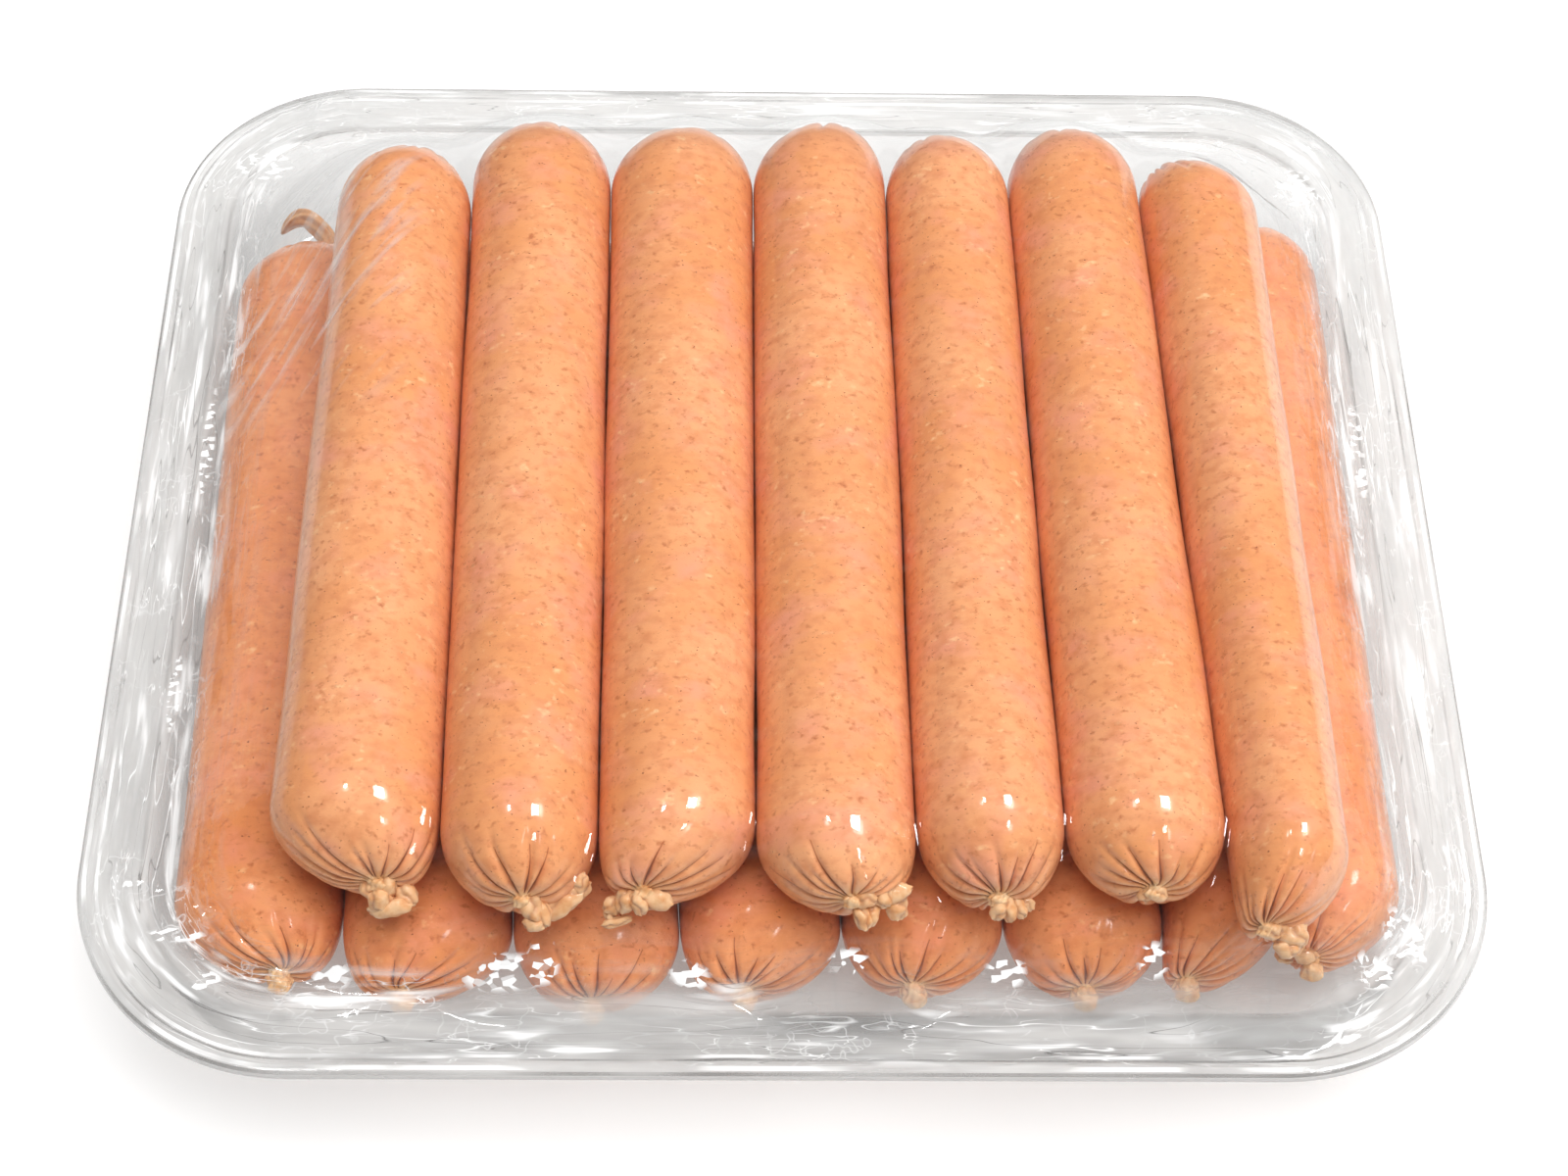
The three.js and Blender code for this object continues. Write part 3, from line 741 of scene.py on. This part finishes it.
def film(material):
    """The film: one thin sheet, folded round the lip and drawn tight over the sausages."""
    draw = np.random.default_rng(CREASE_SEED)
    x, y, insets = film_points()
    tight = film_height(x, y, insets)
    z = tight + creases(x, y, draw) * np.interp(insets, CREASED_INSETS, CREASED_SHARES)[:, None]
    count = x.shape[1]
    points = np.stack([x, y, z], -1).reshape(-1, 3)
    faces = []
    for ring in range(len(insets) - 1):
        low, high = ring * count, (ring + 1) * count
        for k in range(count):
            after = (k + 1) % count
            faces.append((low + k, low + after, high + after, high + k))
    # The last ring is a narrow slot, which faces across it close, from the middle of one of its ends on
    base = (len(insets) - 1) * count
    first = FILM_CORNER_STEPS + 1 + (FILM_SIDE_STEPS - 1) // 2
    for k in range(count // 2):
        there, back = (first + k, first + k + 1), (first - k - 1, first - k)
        face = list(dict.fromkeys(base + n % count for n in there + back))
        faces.append(tuple(face))
    attributes = film_shares(x, y, insets, tight)
    piece = new_object("clear_film", points, faces, material, attributes)
    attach(piece, "root")
    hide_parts("film")
    return piece


# Materials

class Look:
    """A node material, with short calls for the nodes that it is made of."""

    def __init__(self, name):
        self.material = bpy.data.materials.new(name)
        self.material.use_nodes = True
        self.nodes = self.material.node_tree.nodes
        self.nodes.clear()
        self.link = self.material.node_tree.links.new
        self.place = self.add("TexCoord").outputs["Object"]

    def add(self, kind, **settings):
        """A node with its properties and inputs set by name."""
        node = self.nodes.new("ShaderNode" + kind)
        for key, value in settings.items():
            if key in node.inputs:
                node.inputs[key].default_value = value
            else:
                setattr(node, key, value)
        return node

    def feed(self, socket, value):
        """Links a value to a socket, or sets a plain one on it."""
        if isinstance(value, (tuple, float, int)):
            socket.default_value = value
        else:
            self.link(value, socket)

    def maths(self, operation, *values):
        """One operation on values."""
        node = self.add("Math", operation=operation)
        for socket, value in zip(node.inputs, values):
            self.feed(socket, value)
        return node.outputs[0]

    def product(self, first, second):
        """One value times another."""
        return self.maths("MULTIPLY", first, second)

    def largest(self, values):
        """The largest of some values."""
        best = values[0]
        for value in values[1:]:
            best = self.maths("MAXIMUM", best, value)
        return best

    def steps(self, value, low, high, least=0.0, most=1.0):
        """A step of a value, from the least at low to the most at high."""
        node = self.add("MapRange")
        for name, number in (("From Min", low), ("From Max", high), ("To Min", least), ("To Max", most)):
            node.inputs[name].default_value = number
        self.link(value, node.inputs["Value"])
        return node.outputs["Result"]

    def mix(self, factor, first, second, blend="MIX"):
        """A colour mix of two links or plain colours by a factor."""
        node = self.add("Mix", data_type="RGBA", blend_type=blend)
        self.feed(node.inputs[0], factor)
        self.feed(node.inputs[6], first)
        self.feed(node.inputs[7], second)
        return node.outputs[2]

    def attribute(self, name, output="Fac"):
        """A value that the mesh carries at its points."""
        return self.add("Attribute", attribute_name=name).outputs[output]

    def mapped(self, place, **settings):
        """A place that is moved, turned or stretched."""
        node = self.add("Mapping", **settings)
        self.link(place, node.inputs["Vector"])
        return node.outputs["Vector"]

    def noise(self, place, scale, detail, stretch=(1, 1, 1), seed=0.0):
        """A noise value over the place, drawn out by a stretch along each axis."""
        texture = self.add("TexNoise", Scale=scale, Detail=detail)
        moved = self.mapped(place, Scale=stretch, Location=(seed, seed * 0.7, -seed))
        self.link(moved, texture.inputs["Vector"])
        return texture.outputs["Fac"]

    def fold_lines(self, place, scale, detail, stretch, seed, width):
        """Thin lines where a drawn-out noise passes its middle value."""
        apart = self.maths("SUBTRACT", self.noise(place, scale, detail, stretch, seed), 0.5)
        return self.steps(self.maths("ABSOLUTE", apart), width, 0.0)

    def rim_lines(self, inset, rims):
        """Fine lines that follow the lip at set distances from it."""
        return self.largest([self.maths("COMPARE", inset, middle, half_width) for middle, half_width in rims])

    def bumped(self, height, strength, distance):
        """A normal that a height value makes uneven."""
        bump = self.add("Bump", Strength=strength, Distance=distance)
        self.link(height, bump.inputs["Height"])
        return bump.outputs["Normal"]

    def blended(self, share, first, second):
        """Two shaders, mixed by the share of the second."""
        node = self.add("MixShader")
        for socket, value in zip(node.inputs, (share, first, second)):
            self.link(value, socket)
        return node.outputs[0]

    def finished(self, shader):
        """The material, once its last shader goes to the surface."""
        self.link(shader, self.add("OutputMaterial").inputs["Surface"])
        return self.material


WARM_MEAT = (0.81, 0.335, 0.135, 1)
PEACH_MEAT = (0.87, 0.40, 0.19, 1)
BLUSH = (0.84, 0.345, 0.20, 1)
DARK_CLOUD = (0.70, 0.26, 0.11, 1)
DARK_STREAK = (0.50, 0.155, 0.06, 1)
FAT = (0.95, 0.60, 0.32, 1)
SPECK = (0.26, 0.075, 0.035, 1)
DEEP_CASING = (0.75, 0.39, 0.15, 1)
PALE_CASING = (0.93, 0.67, 0.38, 1)
# Painted shade of the pleats: a soft darker red round each one, and a dark line in its fold
PLEAT_SHADE = (0.55, 0.15, 0.05, 1)
PLEAT_SHADE_LINE = (0.27, 0.055, 0.018, 1)
# What a whole row's colours are multiplied by, as painted shade: the row below, under the top row, is painted
# darker and redder
BOTTOM_ROW_SHADE = (1, 0.88, 0.78, 1)
TOP_ROW_SHADE = (1, 1, 1, 1)


def casing_material(name, row_shade):
    """Damp peach-orange casing, mottled, with pale fat, dark specks, painted shade in the pleats, creamy
    twisted ends and the row's painted shade.
    """
    look = Look(name)
    stretch = (1, 1.3, 1)
    broad = look.noise(look.place, 42, 3, (1, 1.1, 1), 0.3)
    blush = look.noise(look.place, 85, 4, stretch, 15.1)
    cloud = look.noise(look.place, 330, 5, (1, 1.35, 1), 1.7)
    streak = look.noise(look.place, 640, 4, (1, 1.25, 1), 4.1)
    fat = look.noise(look.place, 480, 4, stretch, 7.9)
    fat_patch = look.noise(look.place, 110, 3, stretch, 21.7)
    grain = look.noise(look.place, 1500, 2, stretch, 11.3)
    tough = look.noise(look.place, 500, 3, seed=9.2)
    flecks = look.product(look.steps(fat, 0.58, 0.76), look.steps(fat_patch, 0.48, 0.66))
    colour = look.mix(look.steps(broad, 0.38, 0.62), WARM_MEAT, PEACH_MEAT)
    for share, over in (
        (look.steps(blush, 0.50, 0.70), BLUSH),
        (look.steps(cloud, 0.45, 0.80), DARK_CLOUD),
        (look.steps(streak, 0.58, 0.80), DARK_STREAK),
        (flecks, FAT),
        (look.steps(grain, 0.70, 0.75), SPECK),
    ):
        colour = look.mix(share, colour, over)
    # The whole row's painted shade
    colour = look.mix(1.0, colour, row_shade, "MULTIPLY")
    crease = look.attribute("crease")
    cream = look.mix(look.steps(tough, 0.3, 0.6), DEEP_CASING, PALE_CASING)
    colour = look.mix(look.attribute("casing"), colour, cream)
    # Painted shade: a soft darker red round each pleat, then a dark line in its fold
    colour = look.mix(look.product(look.steps(crease, -3.0, 1.0), 0.4), colour, PLEAT_SHADE)
    colour = look.mix(look.product(look.steps(crease, 0.0, 0.7), 0.85), colour, PLEAT_SHADE_LINE)
    shader = look.add("BsdfPrincipled", Roughness=0.42, IOR=1.4)
    shader.inputs["Specular IOR Level"].default_value = 0.35
    shader.inputs["Coat Weight"].default_value = 0.6
    shader.inputs["Coat Roughness"].default_value = 0.12
    look.link(colour, shader.inputs["Base Color"])
    look.link(look.bumped(cloud, 0.4, 0.0003), shader.inputs["Normal"])
    return look.finished(shader.outputs["BSDF"])


# The angle of the painted sheen streaks where the film is dragged over the back left sausages
DRAG_ANGLE = -0.9
# Lines that follow the lip at set distances from it, as distance in from it and half width in millimetres:
# painted dark reflections at the bead's edges and at the tray's inner edge, and painted highlights on the
# bead
DARK_RIMS = [(0.3, 0.25), (2.7, 0.2)]
WHITE_RIMS = [(1.2, 0.4), (3.4, 0.3)]
TRAY_RIMS = [(11.0, 0.3)]


def film_glints_and_dark_lines(look, along, inset):
    """Shares of painted glints, sheen and highlights (white) and of painted dark reflection lines in the
    film, mostly along the outline.
    """
    wrinkle_glints_and_lines = look.attribute("wrinkle_glints_and_lines")
    here = look.steps(look.noise(along, 45, 2, (1, 1, 3), 3.1), 0.38, 0.56)
    there = look.steps(look.noise(look.place, 90, 2, seed=8.4), 0.42, 0.56)
    broken = look.steps(look.noise(along, 30, 1, seed=23.0), 0.35, 0.65)
    long_lines = look.product(look.fold_lines(along, 26, 2, (1, 1, 14), 1.3, 0.020), here)
    fine_lines = look.product(look.fold_lines(along, 80, 2, (1, 1, 7), 5.7, 0.018), there)
    crackle = look.product(look.fold_lines(look.place, 120, 2, (1, 1, 1), 12.9, 0.014), there)
    sheen = look.steps(look.noise(along, 40, 2, (1, 1, 10), 6.6), 0.53, 0.68)
    # Painted glints along the wrinkles, partly the whitish look of creased film, and painted sheen
    white = look.largest([
        look.product(long_lines, 0.9),
        look.product(fine_lines, 0.8),
        look.product(crackle, 0.6),
        look.product(sheen, 0.8),
    ])
    # Painted sheen streaks where the film is dragged over the back left sausages
    turned = look.mapped(look.place, Rotation=(0, 0, DRAG_ANGLE))
    drag_sheen_streaks = look.steps(look.noise(turned, 45, 2, (1, 7, 1), 2.9), 0.50, 0.72)
    # Painted glints where the film is tucked in folds, and painted highlights along the bead
    facets = look.add("TexVoronoi", Scale=600)
    look.link(look.mapped(look.place, Scale=(1, 1.7, 1), Rotation=(0, 0, 0.35)), facets.inputs["Vector"])
    glint_shapes = look.steps(facets.outputs["Color"], 0.56, 0.62)
    glint = look.product(glint_shapes, look.steps(look.attribute("tuck_glints"), 0.2, 0.7))
    rim = look.product(look.rim_lines(inset, WHITE_RIMS), here)
    white = look.largest([
        look.product(white, wrinkle_glints_and_lines),
        look.product(look.product(drag_sheen_streaks, look.attribute("drag_sheen_area")), 0.45),
        look.product(glint, 0.95),
        look.product(rim, 0.8),
    ])
    # Painted dark reflections along the wrinkles and at the bead's edges
    dark = look.product(look.fold_lines(along, 18, 1, (1, 1, 20), 17.5, 0.008), wrinkle_glints_and_lines)
    dark_rim = look.product(look.rim_lines(inset, DARK_RIMS), broken)
    return white, look.largest([look.product(dark, 0.6), look.product(dark_rim, 0.7)])


# The share of light that clear plastic mirrors where it is seen face on, and side on
FACING_MIRROR = 0.04
SIDE_ON_MIRROR = 0.2
MIRROR_POWER = 5.0
TINT_POWER = 3.0
HAZE_GREY = (0.66, 0.645, 0.63, 1)
FLANGE_GREY = (0.74, 0.74, 0.735, 1)
# Painted glints on the film are white, its painted dark reflection lines dark grey, and the tray's painted
# dark edge line grey
GLINT_WHITE = (0.97, 0.97, 0.97, 1)
DARK_REFLECTION_GREY = (0.35, 0.34, 0.33, 1)
TRAY_EDGE_GREY = (0.45, 0.44, 0.43, 1)


def clear_material(name, tint, edge, haze, roughness, bump_scale, bump_height, is_film=False):
    """Clear plastic: it lets light through with a tint, mirrors by angle, and has a faint white haze."""
    look = Look(name)
    normal = look.bumped(look.noise(look.place, bump_scale, 2, seed=2.2), 1.0, bump_height)
    facing = look.add("LayerWeight", Blend=0.5)
    look.link(normal, facing.inputs["Normal"])
    side_on = facing.outputs["Facing"]
    mirrored = look.steps(look.maths("POWER", side_on, MIRROR_POWER), 0, 1, FACING_MIRROR, SIDE_ON_MIRROR)
    tinted = look.mix(look.maths("POWER", side_on, TINT_POWER), (*tint, 1), (*edge, 1))
    milk = look.add("BsdfDiffuse", Color=HAZE_GREY)
    inset = look.attribute("inset")
    if is_film:
        along = look.attribute("along", "Vector")
        cloud = look.noise(along, 26, 3, (1, 1, 7), 5.5)
        hazy = look.attribute("haze")
        # White is the painted glints, sheen and highlights, shown by the milk; dark is the painted dark
        # reflection lines, in the see-through tint
        white, dark = film_glints_and_dark_lines(look, along, inset)
        share = look.product(look.product(look.steps(cloud, 0.1, 0.9), 2 * haze), hazy)
        share = look.product(look.largest([share, white]), look.steps(dark, 0.8, 0.2))
        tinted = look.mix(dark, look.mix(hazy, tinted, FLANGE_GREY), DARK_REFLECTION_GREY)
        look.link(look.mix(white, HAZE_GREY, GLINT_WHITE), milk.inputs["Color"])
    else:
        cloud = look.noise(look.place, 70, 2, seed=5.5)
        share = look.product(look.steps(cloud, 0.1, 0.9), 2 * haze)
        # A painted dark reflection line at the tray's inner edge
        tinted = look.mix(look.product(look.rim_lines(inset, TRAY_RIMS), 0.5), tinted, TRAY_EDGE_GREY)
    see_through = look.add("BsdfTransparent")
    look.link(tinted, see_through.inputs["Color"])
    mirror = look.add("BsdfGlossy", Roughness=roughness, Color=(1, 1, 1, 1))
    look.link(normal, mirror.inputs["Normal"])
    body = look.blended(share, see_through.outputs[0], milk.outputs[0])
    return look.finished(look.blended(mirrored, body, mirror.outputs[0]))


def floor_material():
    """A matt white floor with a very faint unevenness."""
    look = Look("floor_white")
    colour = look.mix(look.noise(look.place, 6, 3), (0.70, 0.70, 0.70, 1), (0.72, 0.72, 0.715, 1))
    shader = look.add("BsdfPrincipled", Roughness=0.9)
    shader.inputs["Emission Color"].default_value = (1, 1, 1, 1)
    shader.inputs["Emission Strength"].default_value = FLOOR_GLOW
    look.link(colour, shader.inputs["Base Color"])
    return look.finished(shader.outputs[0])


# Camera, lights and floor, in metres and degrees

CAMERA_PLACE = (-0.0099, -0.3451, 0.4996)
CAMERA_PITCH = 55.0
CAMERA_YAW = 0.0304
CAMERA_ROLL = 0.0309
CAMERA_LENS = 67.52
SENSOR_WIDTH = 36.0
FLOOR_HALF = 6.0
FLOOR_DROP = 0.0004
FLOOR_GLOW = 0.32
ROOM_LIGHT = 0.13
# Soft boxes light the matt parts, and windows are what shiny parts mirror: place, size, power
SOFT_BOXES = [
    ("overhead", (0.25, -0.05, 2.2), (2.0, 2.0), 64),
    ("right_side", (1.3, -0.1, 1.3), (1.3, 1.3), 15),
]
WINDOWS = [
    ("window_right", (0.57, 0.18, 1.38), (0.30, 0.36), 8),
    ("window_left", (-0.33, 0.16, 1.45), (0.10, 0.16), 1.4),
    ("window_front", (0.58, -0.64, 1.24), (0.12, 0.22), 1.6),
]


def camera():
    """The camera at the photograph's viewing angle: pitch down, yaw right and roll."""
    pitch = math.radians(CAMERA_PITCH)
    forward = np.array([
        math.sin(CAMERA_YAW) * math.cos(pitch),
        math.cos(CAMERA_YAW) * math.cos(pitch),
        -math.sin(pitch),
    ])
    right = np.array([math.cos(CAMERA_YAW), -math.sin(CAMERA_YAW), 0])
    upward = np.cross(right, forward)
    rolled_right = right * math.cos(CAMERA_ROLL) + upward * math.sin(CAMERA_ROLL)
    rolled_up = -right * math.sin(CAMERA_ROLL) + upward * math.cos(CAMERA_ROLL)
    lens = bpy.data.cameras.new("camera")
    lens.lens = CAMERA_LENS
    lens.sensor_width = SENSOR_WIDTH
    lens.sensor_fit = "HORIZONTAL"
    lens.clip_start = 0.01
    view = bpy.data.objects.new("camera", lens)
    axes = np.column_stack([rolled_right, rolled_up, -forward])
    matrix = Matrix(axes.tolist()).to_4x4()
    matrix.translation = CAMERA_PLACE
    view.matrix_world = matrix
    bpy.context.scene.collection.objects.link(view)
    bpy.context.scene.camera = view


def area_light(name, place, size, power):
    """A soft box that faces the middle of the pack."""
    lamp = bpy.data.lights.new(name, "AREA")
    lamp.shape = "RECTANGLE"
    lamp.size, lamp.size_y = size
    lamp.energy = power
    light = bpy.data.objects.new(name, lamp)
    place = np.array(place)
    to_light = place / np.linalg.norm(place)
    aside = np.cross([0, 1, 0] if abs(to_light[1]) < 0.95 else [1, 0, 0], to_light)
    aside /= np.linalg.norm(aside)
    matrix = Matrix(np.column_stack([aside, np.cross(to_light, aside), to_light]).tolist()).to_4x4()
    matrix.translation = place
    light.matrix_world = matrix
    bpy.context.scene.collection.objects.link(light)
    return light


def studio():
    """Soft light from a pale room and a few soft boxes, over a white floor."""
    world = bpy.data.worlds.new("room")
    world.use_nodes = True
    background = world.node_tree.nodes["Background"]
    background.inputs["Color"].default_value = (1, 1, 1, 1)
    background.inputs["Strength"].default_value = ROOM_LIGHT
    bpy.context.scene.world = world
    for name, place, size, power in SOFT_BOXES:
        area_light(name, place, size, power).visible_glossy = False
    for name, place, size, power in WINDOWS:
        area_light(name, place, size, power).visible_diffuse = False
    corners = [(-1, -1), (1, -1), (1, 1), (-1, 1)]
    points = [(x * FLOOR_HALF / MM, y * FLOOR_HALF / MM, -FLOOR_DROP / MM) for x, y in corners]
    new_object("floor", points, [(0, 1, 2, 3)], floor_material())


camera()
studio()
# Each row gets its own copy of the casing look, the bottom row's with painted shade
for row, row_shade in ((BOTTOM_ROW, BOTTOM_ROW_SHADE), (TOP_ROW, TOP_ROW_SHADE)):
    casing_look = casing_material(row["name"] + "_skin", row_shade)
    for k in range(len(row["fronts"])):
        sausage(row, k, casing_look)
tray(clear_material(
    "clear_plastic", tint=(0.965, 0.968, 0.967), edge=(0.80, 0.806, 0.81), haze=0.03,
    roughness=0.06, bump_scale=40, bump_height=0.00005,
))
film(clear_material(
    "clear_film", tint=(0.97, 0.97, 0.968), edge=(0.8, 0.8, 0.8), haze=0.48,
    roughness=0.05, bump_scale=300, bump_height=0.00006, is_film=True,
))

bpy.context.scene.view_settings.view_transform = "Standard"
